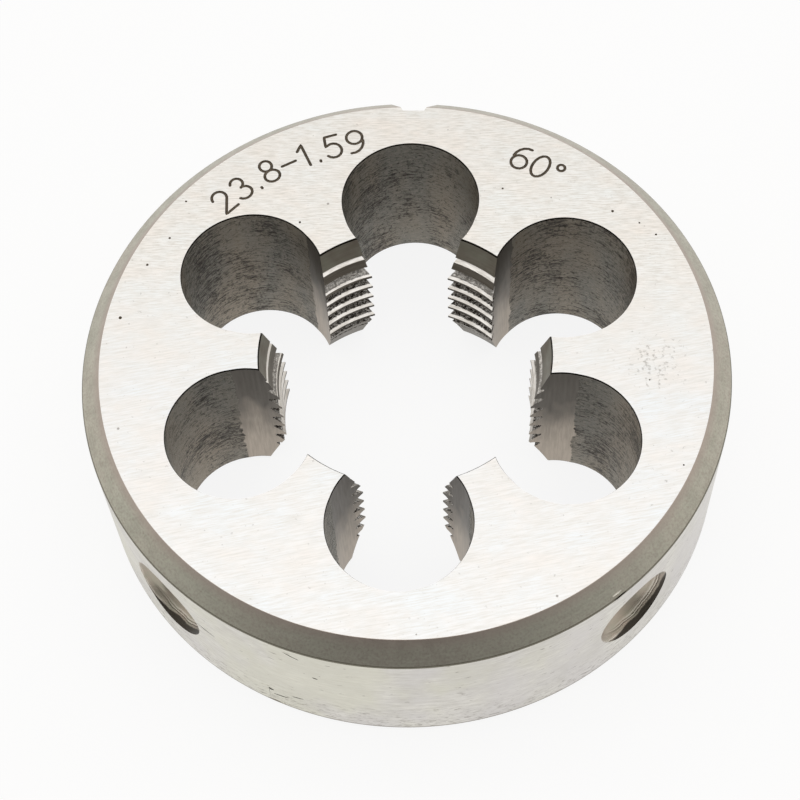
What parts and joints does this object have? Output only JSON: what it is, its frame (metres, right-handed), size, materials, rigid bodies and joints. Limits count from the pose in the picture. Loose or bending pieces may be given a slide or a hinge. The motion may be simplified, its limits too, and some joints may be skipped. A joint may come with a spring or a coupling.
{
  "type": "round threading die",
  "caption": "Round die for cutting an external thread by hand: a thick steel disc with a toothed bore, round chip holes that open into it, a vee groove and conical recesses in its rim.",
  "frame": {"origin": "centre of the back face, on the die's axis", "axes": "+Z along the axis, out of the marked face with the wide chamfer; +Y through the locating groove in the rim"},
  "size_m": [0.055, 0.0549, 0.016],
  "materials": {
    "die_steel": "hardened alloy tool steel: faces surface ground, chamfer and lead cones turned and dark, chip holes drilled, rake faces ground"
  },
  "bodies": {
    "root": {"die_body": "die_steel"}
  },
  "joints": []
}
